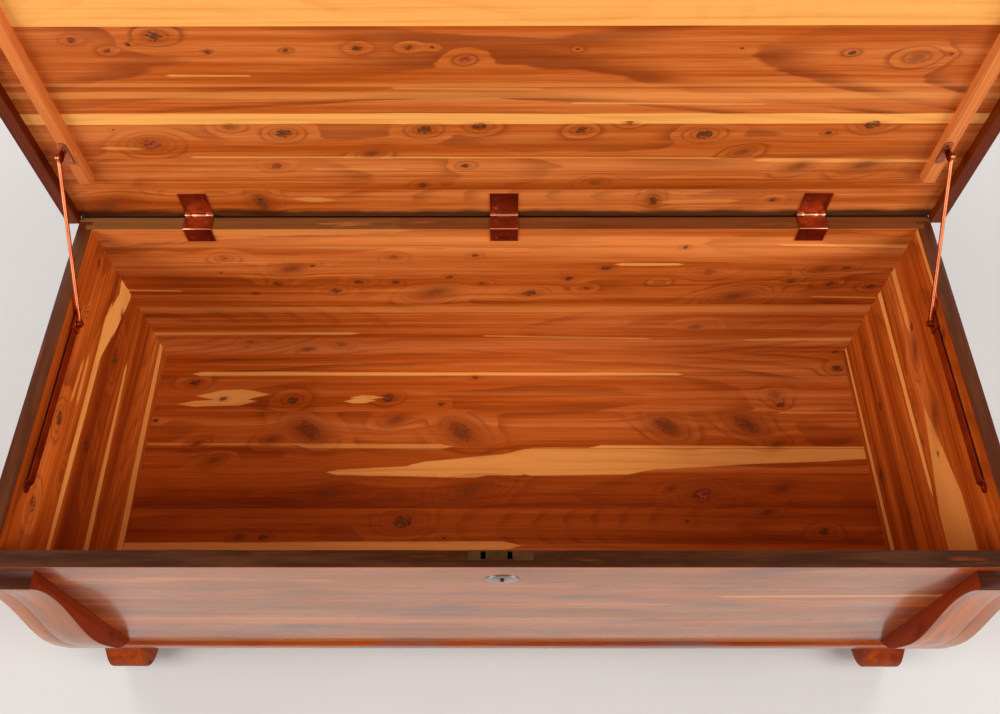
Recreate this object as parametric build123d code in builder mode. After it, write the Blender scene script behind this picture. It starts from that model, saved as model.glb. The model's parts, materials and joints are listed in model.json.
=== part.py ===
"""Red cedar blanket chest: glued-up board case on scroll feet, hinged lid, two sliding stays, mortised lock.

The chest stands on z = 0 with its length along X. The lid is modelled open at a right angle.
Y runs from the front to the back, and the origin is under the middle of the whole open chest.
"""
from build123d import *
from math import atan2, cos, radians, sin, sqrt
import os

os.makedirs("parts", exist_ok=True)

# ---- driving dimensions, in millimetres ----
case_length = 1219.0  # 48 in, outside
case_depth = 516.0  # outside, front face to back face
board_thickness = 20.6  # 13/16 in stock
rim_height = 445.0  # 17 1/2 in from the floor
interior_depth = 341.0  # rim down to the floor boards
floor_thickness = 13.0

lid_gap = 4.3  # closed lid's underside above the rim
axis_behind_case = 3.5  # hinge axis behind the back face
axis_above_rim = 1.5
skirt_thickness = 17.5
skirt_depth = 13.5
skirt_clearance = 1.5  # between the case and the closed lid's skirt
lid_rear_overhang = 6.0  # lid boards past the hinge axis

scroll_width = 66.5  # scroll bracket with its cheek, along X
scroll_projection = 30.0
clearance = 0.05  # round a screw's shank or head

# ---- planes that follow from them ----
half_length = case_length / 2
half_inside = half_length - board_thickness
wall_foot = rim_height - interior_depth - floor_thickness
floor_top = rim_height - interior_depth
lid_offset = lid_gap - axis_above_rim  # open lid's underside behind the hinge axis
rearmost = case_depth + axis_behind_case + lid_offset + board_thickness
front_face = -(rearmost - scroll_projection) / 2  # Y of the case's front face
back_face = front_face + case_depth
axis_y = back_face + axis_behind_case
axis_z = rim_height + axis_above_rim
lid_under = axis_y + lid_offset  # Y of the open lid's underside
lid_half_length = half_length + skirt_clearance + skirt_thickness
lid_reach = axis_y - front_face + skirt_clearance + skirt_thickness  # axis to the lid's front edge


def save(piece, name):
    """Label one finished piece and write its STEP file."""
    piece.part.label = name
    export_step(piece.part, f"parts/{name}.step")


def block(x, y, z, mode=Mode.ADD):
    """A box from its limits, x = (low, high) and so on, in the piece being built."""
    centre = tuple((low + high) / 2 for low, high in (x, y, z))
    with Locations(centre):
        Box(x[1] - x[0], y[1] - y[0], z[1] - z[0], mode=mode)


# ---- screws ----
# A screw goes in along "into"; its head is flush with the face at its point.
shank_radius = 1.7
head_radius = 3.4
head_height = 1.7
small_shank_radius = 1.3
small_head_radius = 2.6
small_screw_length = 11.0
DIRECTIONS = {"down": (0, 0, -1), "back": (0, 1, 0), "front": (0, -1, 0), "left": (-1, 0, 0), "right": (1, 0, 0)}


def screw_plane(point, into):
    """A plane at the head's face, whose z axis points out of the work."""
    way = Vector(*DIRECTIONS[into])
    return Plane(origin=point, z_dir=way * -1)


def screws(points, into, length, shank=shank_radius, head=head_radius):
    """Countersunk slotted screws, each a separate solid."""
    for point in points:
        with Locations(screw_plane(point, into)):
            Cylinder(shank, length, align=(Align.CENTER, Align.CENTER, Align.MAX))
            Cone(shank, head, head_height, align=(Align.CENTER, Align.CENTER, Align.MAX))
            Box(2.2 * head, 0.9, 0.7, align=(Align.CENTER, Align.CENTER, Align.MAX), mode=Mode.SUBTRACT)


def screw_holes(points, into, length, shank=shank_radius, head=head_radius):
    """The countersunk holes that those screws sit in, with a little room round them."""
    for point in points:
        with Locations(screw_plane(point, into)):
            Cylinder(
                shank + clearance,
                length + clearance,
                align=(Align.CENTER, Align.CENTER, Align.MAX),
                mode=Mode.SUBTRACT,
            )
            Cone(
                shank + clearance,
                head + 2 * clearance,
                head_height + clearance,
                align=(Align.CENTER, Align.CENTER, Align.MAX),
                mode=Mode.SUBTRACT,
            )


# ---- hinge layout, shared by the leaves and the boards that they are screwed to ----
hinge_places = (-438.0, 0.0, 440.0)
hinge_width = 40.0
leaf_thickness = 1.5
leaf_height = 40.0  # lid leaf
leaf_drop = 26.0  # box leaf, down the inner face
knuckle_radius = 2.7
pin_radius = 1.5
knuckle_width = 19.2  # the box leaf's middle knuckle
knuckle_gap = 0.4
hinge_screw_length = 12.0
hinge_screw_spread = 11.0
inner_back = back_face - board_thickness
leaf_foot = axis_z + knuckle_radius + 0.6

rim_screws = [
    (x + side * hinge_screw_spread, back_face - 10.0, rim_height + leaf_thickness)
    for x in hinge_places
    for side in (-1, 1)
]
inner_screws = [
    (x + side * hinge_screw_spread, inner_back - leaf_thickness, rim_height - 17.0)
    for x in hinge_places
    for side in (-1, 1)
]
lid_screws = [
    (x + side * hinge_screw_spread, lid_under - leaf_thickness, leaf_foot + up)
    for x in hinge_places
    for side in (-1, 1)
    for up in (11.0, 31.0)
]

# ---- stay layout; sign is -1 on the left and 1 on the right ----
rail_height = 14.0
rail_centre_z = rim_height - 25.0
rail_thickness = 1.2
rail_standoff = 3.6  # behind the rail
rail_front = front_face + 117.0
rail_back = front_face + 364.0
rail_tab = 15.0
rail_screw_back = 8.0  # from the tab's end
slider_open_y = front_face + 350.0
slider_length = 24.0
rod_radius = 2.5
rod_x = half_length - 29.4
eye_radius = 5.5
eye_thickness = 3.4
flat_radius = 8.0  # the rod is flattened this far from each pivot
rivet_radius = 2.0
batten_inner = {"left": 560.0, "right": 566.0}  # the right one is set a little further out
batten_width = 17.0
batten_thickness = 13.5
batten_foot = rim_height + 80.0
batten_head = rim_height + 442.0
batten_face = lid_under - batten_thickness
pivot_y = batten_face - 7.5
pivot_z = rim_height + 138.0
bracket_inner = 566.5
bracket_outer = 578.1
bracket_screw_x = 571.5
bracket_screw_z = (pivot_z - 11.0, pivot_z + 11.0)


def rail_screw_points(sign):
    face = sign * (half_inside - rail_thickness)
    ends = (rail_front - rail_tab + rail_screw_back, rail_back + rail_tab - rail_screw_back)
    return [(face, y, rail_centre_z) for y in ends]


def bracket_screw_points(sign):
    return [(sign * bracket_screw_x, batten_face - leaf_thickness, z) for z in bracket_screw_z]


# ---- lock layout ----
lock_x = -4.4
lock_half_width = 38.1
lock_case_half_width = 33.0
selvedge_depth = 12.0
selvedge_thickness = 2.0
lock_plate_thickness = 1.5
lock_plate_height = 62.0
lock_case_height = 52.0
staple_places = (-24.5, 6.5)
inner_front = front_face + board_thickness
lock_front = inner_front - selvedge_depth
keyhole_x = -2.5
keyhole_z = rim_height - 38.6
keyhole_radius = 3.4
keyhole_slot = 4.4
keyhole_length = 11.5
lock_screws = [(lock_x + x, inner_front, rim_height - 57.0) for x in (-28.0, 0.0, 28.0)]


def keyhole(y_low, y_high):
    """Cut a keyhole, round above and slotted below, through the stated span of Y."""
    span = y_high - y_low
    with Locations(Plane(origin=(keyhole_x, y_high, keyhole_z), z_dir=(0, -1, 0))):
        Cylinder(keyhole_radius, span, align=(Align.CENTER, Align.CENTER, Align.MIN), mode=Mode.SUBTRACT)
    half = keyhole_slot / 2
    block(
        (keyhole_x - half, keyhole_x + half),
        (y_low, y_high),
        (keyhole_z - keyhole_length, keyhole_z),
        Mode.SUBTRACT,
    )


# ---- case boards, joined at the corners by an interlocking drawer-lock joint ----
lip = 7.0  # of the front and back boards, across the side boards' ends
tongue = 5.5  # of the side boards, into the front and back boards
rebate = 9.0  # of the front and back boards' inner part, into the side boards


def long_board_outline(outer, inward):
    """Plan of a front or back board; outer is its face's Y, and inward is 1 or -1 towards the inside."""
    lip_y = outer + inward * lip
    tongue_y = lip_y + inward * tongue
    inner_y = outer + inward * board_thickness
    right = [
        (half_length, outer),
        (half_length, lip_y),
        (half_inside, lip_y),
        (half_inside, tongue_y),
        (half_inside + rebate, tongue_y),
        (half_inside + rebate, inner_y),
    ]
    return right + [(-x, y) for x, y in reversed(right)]


def side_board_outline(sign):
    """Plan of a side board, from the front joint to the back joint."""

    def end(outer, inward):
        lip_y = outer + inward * lip
        tongue_y = lip_y + inward * tongue
        inner_y = outer + inward * board_thickness
        return [
            (half_length, lip_y),
            (half_inside, lip_y),
            (half_inside, tongue_y),
            (half_inside + rebate, tongue_y),
            (half_inside + rebate, inner_y),
            (half_inside, inner_y),
        ]

    outline = end(front_face, 1) + list(reversed(end(back_face, -1)))
    return [(sign * x, y) for x, y in outline]


def extrude_outline(outline, plane, amount):
    """Extrude a closed outline, drawn in the plane, into the piece being built."""
    with BuildSketch(plane) as drawn:
        with BuildLine():
            Polyline(*outline, close=True)
        make_face()
    extrude(drawn.sketch, amount=amount)


def rows(*joints):
    """Heights of a wall's glue joints, below the rim, as (name, low, high) rows from the top down."""
    levels = [rim_height, *(rim_height - joint for joint in joints), wall_foot]
    return list(zip(("top", "middle", "bottom"), levels[1:], levels[:-1]))


for row, low, high in rows(118.0, 236.0):
    with BuildPart() as front_board:
        extrude_outline(long_board_outline(front_face, 1), Plane.XY.offset(low), high - low)
        if row == "top":
            case_x = (lock_x - lock_case_half_width, lock_x + lock_case_half_width)
            plate_x = (lock_x - lock_half_width, lock_x + lock_half_width)
            block(
                plate_x,
                (lock_front, inner_front),
                (rim_height - selvedge_thickness, rim_height),
                Mode.SUBTRACT,
            )
            block(
                plate_x,
                (inner_front - lock_plate_thickness, inner_front),
                (rim_height - lock_plate_height, rim_height),
                Mode.SUBTRACT,
            )
            block(
                case_x,
                (lock_front, inner_front),
                (rim_height - lock_case_height, rim_height),
                Mode.SUBTRACT,
            )
            keyhole(front_face, lock_front)
            screw_holes(lock_screws, "front", small_screw_length, small_shank_radius, small_head_radius)
    save(front_board, f"front_board_{row}")

for row, low, high in rows(79.0, 190.0):
    with BuildPart() as back_board:
        extrude_outline(long_board_outline(back_face, -1), Plane.XY.offset(low), high - low)
        if row == "top":
            screw_holes(rim_screws, "down", hinge_screw_length)
            screw_holes(inner_screws, "back", hinge_screw_length)
    save(back_board, f"back_board_{row}")

for side, sign, joints in (("left", -1, (112.0, 219.0)), ("right", 1, (55.0, 155.0))):
    for row, low, high in rows(*joints):
        with BuildPart() as side_board:
            extrude_outline(side_board_outline(sign), Plane.XY.offset(low), high - low)
            if row == "top":
                screw_holes(rail_screw_points(sign), side, small_screw_length, small_shank_radius, small_head_radius)
        save(side_board, f"{side}_board_{row}")

# ---- floor boards, between the walls, with cleats under them ----
floor_joints = (151.0, 209.0, 270.0, 382.0)  # behind the front face
floor_levels = [inner_front, *(front_face + joint for joint in floor_joints), inner_back]
for number, (low, high) in enumerate(zip(floor_levels[:-1], floor_levels[1:]), start=1):
    with BuildPart() as floor_board:
        block((-half_inside, half_inside), (low, high), (wall_foot, floor_top))
    save(floor_board, f"floor_board_{number}")

cleat_width = 42.0
cleat_height = 18.0
with BuildPart() as floor_cleats:
    for x in (-300.0, 0.0, 300.0):
        block(
            (x - cleat_width / 2, x + cleat_width / 2),
            (front_face + 30.0, back_face - 30.0),
            (wall_foot - cleat_height, wall_foot),
        )
    bottom_edges = floor_cleats.edges().filter_by(Axis.Y).group_by(Axis.Z)[0]
    chamfer(bottom_edges, length=3.0)
save(floor_cleats, "floor_cleats")

# ---- bead along the foot of the front ----
bead_projection = 6.0
bead_top = rim_height - 335.0
bead_height = 15.0
with BuildPart() as base_bead:
    block(
        (-half_length, half_length),
        (front_face - bead_projection, front_face),
        (bead_top - bead_height, bead_top),
    )
    front_edges = base_bead.edges().filter_by(Axis.X).group_by(Axis.Y)[0]
    fillet(front_edges, radius=1.5)
save(base_bead, "base_bead")

# ---- scroll brackets on the front corners: a thick inner bracket and a cheek in the side's thickness ----
# Each point is (projection from the front face, depth below the rim).
scroll_top = 10.5
scroll_points = (
    (23.0, scroll_top),
    (15.0, 68.0),
    (21.5, 132.0),
    (29.0, 185.0),
    (scroll_projection, 222.0),
    (24.0, 271.0),
)
scroll_end = (0.0, 327.0)


def scroll_bracket(x_low, x_high):
    """The scroll profile, drawn in the YZ plane and extruded along X."""
    with BuildSketch(Plane.YZ.offset(x_low)) as drawn:
        with BuildLine():
            curve = [(front_face - out, rim_height - down) for out, down in (*scroll_points, scroll_end)]
            Spline(*curve, tangents=((0.35, -1.0), (1.0, -1.15)))
            Polyline(curve[-1], (front_face, rim_height - scroll_top), curve[0])
        make_face()
    extrude(drawn.sketch, amount=x_high - x_low)


for side, sign in (("left", -1), ("right", 1)):
    inner_x, joint_x = sign * (half_length - scroll_width), sign * half_inside
    with BuildPart() as bracket:
        scroll_bracket(min(inner_x, joint_x), max(inner_x, joint_x))
    save(bracket, f"scroll_bracket_{side}")
    with BuildPart() as cheek:
        scroll_bracket(min(joint_x, sign * half_length), max(joint_x, sign * half_length))
    save(cheek, f"scroll_cheek_{side}")

# ---- feet: round scrolls in front, plain blocks behind, with a glue block beside each ----
foot_width = 52.0
foot_inner_x = half_length - scroll_width
foot_radius = 40.0
foot_centre = (front_face + 22.0, foot_radius - 0.6)  # Y and Z; the roll is pared flat where it stands


def foot_point(degrees):
    """A point on the foot's roll, at this angle above the +Y direction."""
    return (
        foot_centre[0] + foot_radius * cos(radians(degrees)),
        foot_centre[1] + foot_radius * sin(radians(degrees)),
    )


foot_flat = sqrt(foot_radius**2 - foot_centre[1] ** 2)
for side, sign in (("left", -1), ("right", 1)):
    x_low = min(sign * foot_inner_x, sign * (foot_inner_x + foot_width))
    with BuildPart() as front_foot:
        with BuildSketch(Plane.YZ.offset(x_low)):
            with BuildLine():
                neck_front = (front_face + 3.0, wall_foot)
                neck_back = (front_face + 66.0, wall_foot)
                Spline(neck_front, foot_point(146), tangents=((-0.15, -1.0), (-sin(radians(34)), -cos(radians(34)))))
                ThreePointArc(foot_point(146), foot_point(190), (foot_centre[0] - foot_flat, 0.0))
                Line((foot_centre[0] - foot_flat, 0.0), (foot_centre[0] + foot_flat, 0.0))
                ThreePointArc((foot_centre[0] + foot_flat, 0.0), foot_point(-40), foot_point(15))
                ThreePointArc(foot_point(15), (front_face + 58.5, wall_foot - 24.0), neck_back)
                Line(neck_back, neck_front)
            make_face()
        extrude(amount=foot_width)
    save(front_foot, f"front_foot_{side}")

    with BuildPart() as rear_foot:
        outline = [
            (back_face - 4.0, wall_foot),
            (back_face - 4.0, 8.0),
            (back_face - 12.0, 0.0),
            (back_face - 48.0, 0.0),
            (back_face - 68.0, wall_foot),
        ]
        extrude_outline(outline, Plane.YZ.offset(x_low), foot_width)
    save(rear_foot, f"rear_foot_{side}")

with BuildPart() as glue_blocks:
    for sign in (-1, 1):
        x_span = sorted((sign * (foot_inner_x - 15.0), sign * foot_inner_x))
        for y_low in (front_face + 14.0, back_face - 64.0):
            block(x_span, (y_low, y_low + 50.0), (wall_foot - 40.0, wall_foot))
save(glue_blocks, "glue_blocks")

# ---- hinges ----
end_knuckle = (hinge_width - knuckle_width) / 2


def pin_bore(x_low, x_high, radius):
    with Locations(Plane(origin=(x_low, axis_y, axis_z), z_dir=(1, 0, 0))):
        Cylinder(radius, x_high - x_low, align=(Align.CENTER, Align.CENTER, Align.MIN), mode=Mode.SUBTRACT)


def knuckle(x_low, x_high):
    with Locations(Plane(origin=(x_low, axis_y, axis_z), z_dir=(1, 0, 0))):
        Cylinder(knuckle_radius, x_high - x_low, align=(Align.CENTER, Align.CENTER, Align.MIN))


with BuildPart() as hinge_box_leaves:
    for x in hinge_places:
        leaf_x = (x - hinge_width / 2, x + hinge_width / 2)
        middle_x = (x - knuckle_width / 2, x + knuckle_width / 2)
        block(leaf_x, (inner_back - leaf_thickness, back_face - 0.2), (rim_height, rim_height + leaf_thickness))
        block(
            leaf_x,
            (inner_back - leaf_thickness, inner_back),
            (rim_height - leaf_drop, rim_height + leaf_thickness),
        )
        block(middle_x, (back_face - 0.2, axis_y), (rim_height, rim_height + leaf_thickness))
        knuckle(*middle_x)
        pin_bore(*leaf_x, pin_radius + 0.03)
    bends = (
        hinge_box_leaves.edges()
        .filter_by(Axis.X)
        .group_by(Axis.Y)[0]
        .filter_by(lambda edge: edge.center().Z > rim_height)
    )
    fillet(bends, radius=1.4)
    screw_holes(rim_screws, "down", hinge_screw_length)
    screw_holes(inner_screws, "back", hinge_screw_length)
save(hinge_box_leaves, "hinge_box_leaves")

with BuildPart() as hinge_lid_leaves:
    for x in hinge_places:
        leaf_x = (x - hinge_width / 2, x + hinge_width / 2)
        leaf_y = (lid_under - leaf_thickness, lid_under)
        block(leaf_x, leaf_y, (leaf_foot, leaf_foot + leaf_height))
        for end_low in (leaf_x[0], leaf_x[1] - end_knuckle + knuckle_gap):
            end_x = (end_low, end_low + end_knuckle - knuckle_gap)
            block(end_x, (lid_under - leaf_thickness, lid_under - 0.1), (axis_z, leaf_foot))
            knuckle(*end_x)
        pin_bore(*leaf_x, pin_radius + 0.06)
    screw_holes(lid_screws, "back", hinge_screw_length)
save(hinge_lid_leaves, "hinge_lid_leaves")

with BuildPart() as hinge_pins:
    for x in hinge_places:
        with Locations(Plane(origin=(x, axis_y, axis_z), z_dir=(1, 0, 0))):
            Cylinder(pin_radius, hinge_width)
save(hinge_pins, "hinge_pins")

with BuildPart() as hinge_box_screws:
    screws(rim_screws, "down", hinge_screw_length)
    screws(inner_screws, "back", hinge_screw_length)
save(hinge_box_screws, "hinge_box_screws")

with BuildPart() as hinge_lid_screws:
    screws(lid_screws, "back", hinge_screw_length)
save(hinge_lid_screws, "hinge_lid_screws")

# ---- lid, standing open: boards along X, a skirt on three sides and two battens ----
lid_rear = axis_z - lid_rear_overhang
lid_front = axis_z + lid_reach
lid_joints = (52.0, 114.0, 181.0, 327.0, 436.0)  # above the rim
lid_levels = [lid_rear, *(rim_height + joint for joint in lid_joints), lid_front]
lid_back = lid_under + board_thickness
strike_z = axis_z + axis_y - (lock_front + selvedge_depth / 2)
strike_half_depth = 6.5
strike_thickness = 1.5
strike_screws = [(lock_x + x, lid_under - strike_thickness, strike_z) for x in (-33.0, 33.0)]
for number, (low, high) in enumerate(zip(lid_levels[:-1], lid_levels[1:]), start=1):
    with BuildPart() as lid_board:
        block((-lid_half_length, lid_half_length), (lid_under, lid_back), (low, high))
        outer_edges = lid_board.edges().group_by(Axis.Y)[-1]
        rounded = outer_edges.filter_by(Axis.Z)
        if number == 1:
            screw_holes(lid_screws, "back", hinge_screw_length)
        if number == len(lid_levels) - 1:
            rounded += outer_edges.filter_by(Axis.X).sort_by(Axis.Z)[-1:]
            screw_holes(strike_screws, "back", small_screw_length, small_shank_radius, small_head_radius)
        fillet(rounded, radius=7.0)
    save(lid_board, f"lid_board_{number}")

skirt_y = lid_under - skirt_depth


def skirt(outline):
    """One strip of the skirt, from its outline in X and Z."""
    extrude_outline(outline, Plane.XZ.offset(-lid_under), skirt_depth)


skirt_inner_x = lid_half_length - skirt_thickness
for side, sign in (("left", -1), ("right", 1)):
    with BuildPart() as side_skirt:
        skirt(
            [
                (sign * lid_half_length, lid_rear),
                (sign * skirt_inner_x, lid_rear),
                (sign * skirt_inner_x, lid_front - skirt_thickness),
                (sign * lid_half_length, lid_front),
            ]
        )
    save(side_skirt, f"lid_skirt_{side}")

with BuildPart() as front_skirt:
    skirt(
        [
            (-lid_half_length, lid_front),
            (lid_half_length, lid_front),
            (skirt_inner_x, lid_front - skirt_thickness),
            (-skirt_inner_x, lid_front - skirt_thickness),
        ]
    )
save(front_skirt, "lid_skirt_front")

for side, sign in (("left", -1), ("right", 1)):
    with BuildPart() as batten:
        x_span = sorted((sign * batten_inner[side], sign * (batten_inner[side] + batten_width)))
        block(x_span, (batten_face, lid_under), (batten_foot, batten_head))
        inner_edge = batten.edges().filter_by(Axis.Z).group_by(Axis.Y)[0].sort_by(Axis.X)
        chamfer(inner_edge[-1] if sign < 0 else inner_edge[0], length=2.0)
        screw_holes(bracket_screw_points(sign), "back", small_screw_length, small_shank_radius, small_head_radius)
    save(batten, f"lid_batten_{side}")

# ---- stays: a strap standing off the wall, a sleeve that slides on it, and a rod up to the lid's bracket ----
eye_x = (rod_x - eye_thickness / 2, rod_x + eye_thickness / 2)
for side, sign in (("left", -1), ("right", 1)):
    wall = half_inside
    rail_face = wall - rail_standoff - rail_thickness
    rail_rear_face = wall - rail_standoff
    tab_face = wall - rail_thickness
    with BuildPart() as rail:
        outline = [
            (tab_face, rail_front - rail_tab),
            (tab_face, rail_front - 3.5),
            (rail_face, rail_front),
            (rail_face, rail_back),
            (tab_face, rail_back + 3.5),
            (tab_face, rail_back + rail_tab),
            (wall, rail_back + rail_tab),
            (wall, rail_back + 3.0),
            (rail_rear_face, rail_back - 0.6),
            (rail_rear_face, rail_front + 0.6),
            (wall, rail_front - 3.0),
            (wall, rail_front - rail_tab),
        ]
        extrude_outline(
            [(sign * x, y) for x, y in outline],
            Plane.XY.offset(rail_centre_z - rail_height / 2),
            rail_height,
        )
        ends = rail.edges().filter_by(Axis.X).group_by(Axis.Y)
        fillet(ends[0] + ends[-1], radius=rail_height / 2 - 0.2)
        screw_holes(rail_screw_points(sign), side, small_screw_length, small_shank_radius, small_head_radius)
    save(rail, f"stay_rail_{side}")

    sleeve_play = 0.4
    sleeve_wall = 0.8
    sleeve_y = (slider_open_y - slider_length / 2, slider_open_y + slider_length / 2)
    with BuildPart() as slider:
        hollow_x = (rail_face - sleeve_play, rail_rear_face + sleeve_play)
        hollow_z = rail_height / 2 + sleeve_play
        outer_z = hollow_z + sleeve_wall
        block(
            sorted((sign * (hollow_x[0] - sleeve_wall), sign * (hollow_x[1] + sleeve_wall))),
            sleeve_y,
            (rail_centre_z - outer_z, rail_centre_z + outer_z),
        )
        block(
            sorted((sign * hollow_x[0], sign * hollow_x[1])),
            sleeve_y,
            (rail_centre_z - hollow_z, rail_centre_z + hollow_z),
            Mode.SUBTRACT,
        )
    save(slider, f"stay_slider_{side}")

    run = (slider_open_y - pivot_y, rail_centre_z - pivot_z)
    rod_length = sqrt(run[0] ** 2 + run[1] ** 2)
    with BuildPart() as rod:
        along = Plane(origin=(sign * rod_x, pivot_y, pivot_z), z_dir=(0, run[0], run[1]))
        with Locations(along):
            Cylinder(rod_radius, rod_length, align=(Align.CENTER, Align.CENTER, Align.MIN))
        for y, z in ((pivot_y, pivot_z), (slider_open_y, rail_centre_z)):
            with Locations(Plane(origin=(sign * eye_x[0], y, z), z_dir=(sign, 0, 0))):
                Cylinder(eye_radius, eye_thickness, align=(Align.CENTER, Align.CENTER, Align.MIN))
                Cylinder(
                    flat_radius,
                    rod_radius,
                    align=(Align.CENTER, Align.CENTER, Align.MAX),
                    mode=Mode.SUBTRACT,
                )
            with Locations(Plane(origin=(sign * eye_x[1], y, z), z_dir=(sign, 0, 0))):
                Cylinder(
                    flat_radius,
                    rod_radius,
                    align=(Align.CENTER, Align.CENTER, Align.MIN),
                    mode=Mode.SUBTRACT,
                )
        with Locations(Plane(origin=(sign * eye_x[0], pivot_y, pivot_z), z_dir=(sign, 0, 0))):
            Cylinder(
                rivet_radius + 0.05,
                eye_thickness,
                align=(Align.CENTER, Align.CENTER, Align.MIN),
                mode=Mode.SUBTRACT,
            )
        lower = Plane(origin=(sign * eye_x[0], slider_open_y, rail_centre_z), z_dir=(sign, 0, 0))
        with Locations(lower):
            Cylinder(4.2, 1.5, align=(Align.CENTER, Align.CENTER, Align.MAX))
            Cylinder(3.0, eye_thickness + 0.7, align=(Align.CENTER, Align.CENTER, Align.MIN))
    save(rod, f"stay_rod_{side}")

    with BuildPart() as bracket:
        block(
            sorted((sign * bracket_inner, sign * bracket_outer)),
            (batten_face - leaf_thickness, batten_face),
            (pivot_z - 19.0, pivot_z + 19.0),
        )
        fillet(bracket.edges().filter_by(Axis.Y), radius=4.5)
        ear_x = sorted((sign * (bracket_outer - leaf_thickness), sign * bracket_outer))
        block(ear_x, (pivot_y, batten_face - leaf_thickness), (pivot_z - 6.5, pivot_z + 6.5))
        with Locations(Plane(origin=(ear_x[0], pivot_y, pivot_z), z_dir=(1, 0, 0))):
            Cylinder(6.5, leaf_thickness, align=(Align.CENTER, Align.CENTER, Align.MIN))
            Cylinder(
                rivet_radius,
                leaf_thickness,
                align=(Align.CENTER, Align.CENTER, Align.MIN),
                mode=Mode.SUBTRACT,
            )
        screw_holes(bracket_screw_points(sign), "back", small_screw_length, small_shank_radius, small_head_radius)
    save(bracket, f"stay_bracket_{side}")

with BuildPart() as stay_rivets:
    for sign in (-1, 1):
        ear_inner = bracket_outer - leaf_thickness
        outer_head = eye_x[1] + 0.3
        with Locations(Plane(origin=(sign * ear_inner, pivot_y, pivot_z), z_dir=(sign, 0, 0))):
            Cylinder(
                rivet_radius,
                outer_head - ear_inner,
                align=(Align.CENTER, Align.CENTER, Align.MIN),
            )
            Cylinder(4.0, 1.3, align=(Align.CENTER, Align.CENTER, Align.MAX))
        with Locations(Plane(origin=(sign * outer_head, pivot_y, pivot_z), z_dir=(sign, 0, 0))):
            Cylinder(4.0, 1.0, align=(Align.CENTER, Align.CENTER, Align.MIN))
save(stay_rivets, "stay_rivets")

# ---- lock: selvedge, case, bolt, escutcheon, and the strike plate on the lid ----
slot_half_x = 3.0
slot_y = (lock_front + 1.2, lock_front + 10.7)
with BuildPart() as lock_selvedge:
    block(
        (lock_x - lock_half_width, lock_x + lock_half_width),
        (lock_front, inner_front),
        (rim_height - selvedge_thickness, rim_height),
    )
    for x in staple_places:
        block(
            (x - slot_half_x, x + slot_half_x),
            slot_y,
            (rim_height - selvedge_thickness, rim_height),
            Mode.SUBTRACT,
        )
save(lock_selvedge, "lock_selvedge")

case_wall = 1.5
plate_top = rim_height - selvedge_thickness
bolt_foot = rim_height - 30.0
bolt_bar_top = rim_height - 18.0
finger_top = rim_height - 7.0
with BuildPart() as lock_case:
    block(
        (lock_x - lock_case_half_width, lock_x + lock_case_half_width),
        (lock_front, inner_front),
        (rim_height - lock_case_height, plate_top),
    )
    block(
        (lock_x - lock_half_width, lock_x + lock_half_width),
        (inner_front - lock_plate_thickness, inner_front),
        (rim_height - lock_plate_height, plate_top),
    )
    block(
        (lock_x - lock_case_half_width + case_wall, lock_x + lock_case_half_width - case_wall),
        (lock_front + case_wall, inner_front - lock_plate_thickness),
        (rim_height - lock_case_height + case_wall, plate_top),
        Mode.SUBTRACT,
    )
    for x in (lock_x - 29.0, lock_x + 29.0):
        block(
            (x - 1.5, x + 1.5),
            (lock_front + case_wall, inner_front - lock_plate_thickness),
            (rim_height - lock_case_height + case_wall, bolt_foot - 0.4),
        )
    keyhole(lock_front, lock_front + case_wall)
    screw_holes(lock_screws, "front", small_screw_length, small_shank_radius, small_head_radius)
save(lock_case, "lock_case")

bolt_y = (lock_front + 4.0, lock_front + 8.0)
with BuildPart() as lock_bolt:
    block((staple_places[0] - 11.0, staple_places[1] + 8.0), bolt_y, (bolt_foot, bolt_bar_top))
    for x in staple_places:
        block((x - 11.0, x - 8.5), bolt_y, (bolt_bar_top, finger_top))
        block((x - 8.5, x - 2.4), bolt_y, (finger_top - 5.0, finger_top))
save(lock_bolt, "lock_bolt")

escutcheon_thickness = 1.4
with BuildPart() as escutcheon:
    with BuildSketch(Plane(origin=(keyhole_x, front_face, keyhole_z - 3.0), x_dir=(1, 0, 0), z_dir=(0, -1, 0))):
        Ellipse(20.0, 13.0)
    extrude(amount=escutcheon_thickness)
    keyhole(front_face - escutcheon_thickness, front_face)
save(escutcheon, "escutcheon")

# The staples stand out of the strike plate towards the front while the lid is open.
staple_y = (lid_under - lid_gap - 16.0, lid_under - strike_thickness)
staple_half_z = 3.6
with BuildPart() as strike_plate:
    block(
        (lock_x - lock_half_width, lock_x + lock_half_width),
        (lid_under - strike_thickness, lid_under),
        (strike_z - strike_half_depth, strike_z + strike_half_depth),
    )
    for x in staple_places:
        block((x - 1.75, x + 1.75), staple_y, (strike_z - staple_half_z, strike_z + staple_half_z))
        block(
            (x - 1.75, x + 1.75),
            (staple_y[0] + 2.8, staple_y[0] + 9.8),
            (strike_z - 2.5, strike_z + 2.5),
            Mode.SUBTRACT,
        )
    screw_holes(strike_screws, "back", small_screw_length, small_shank_radius, small_head_radius)
save(strike_plate, "strike_plate")

# ---- the small screws of the stays and the lock, one node on the case and one on the lid ----
with BuildPart() as small_case_screws:
    screws(lock_screws, "front", small_screw_length, small_shank_radius, small_head_radius)
    for side, sign in (("left", -1), ("right", 1)):
        screws(rail_screw_points(sign), side, small_screw_length, small_shank_radius, small_head_radius)
save(small_case_screws, "small_case_screws")

with BuildPart() as small_lid_screws:
    screws(strike_screws, "back", small_screw_length, small_shank_radius, small_head_radius)
    for sign in (-1, 1):
        screws(bracket_screw_points(sign), "back", small_screw_length, small_shank_radius, small_head_radius)
save(small_lid_screws, "small_lid_screws")
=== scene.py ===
"""Looks for the cedar blanket chest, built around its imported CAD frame.

Every board keeps the CAD shape, with its free edges eased and a cedar that grows along the board: rings,
knots and sapwood. Lengths are in metres. Along and across a board they are measured from the middle of the
chest, from its front face or from its rim, as each panel says.
"""

import json
from math import radians

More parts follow.
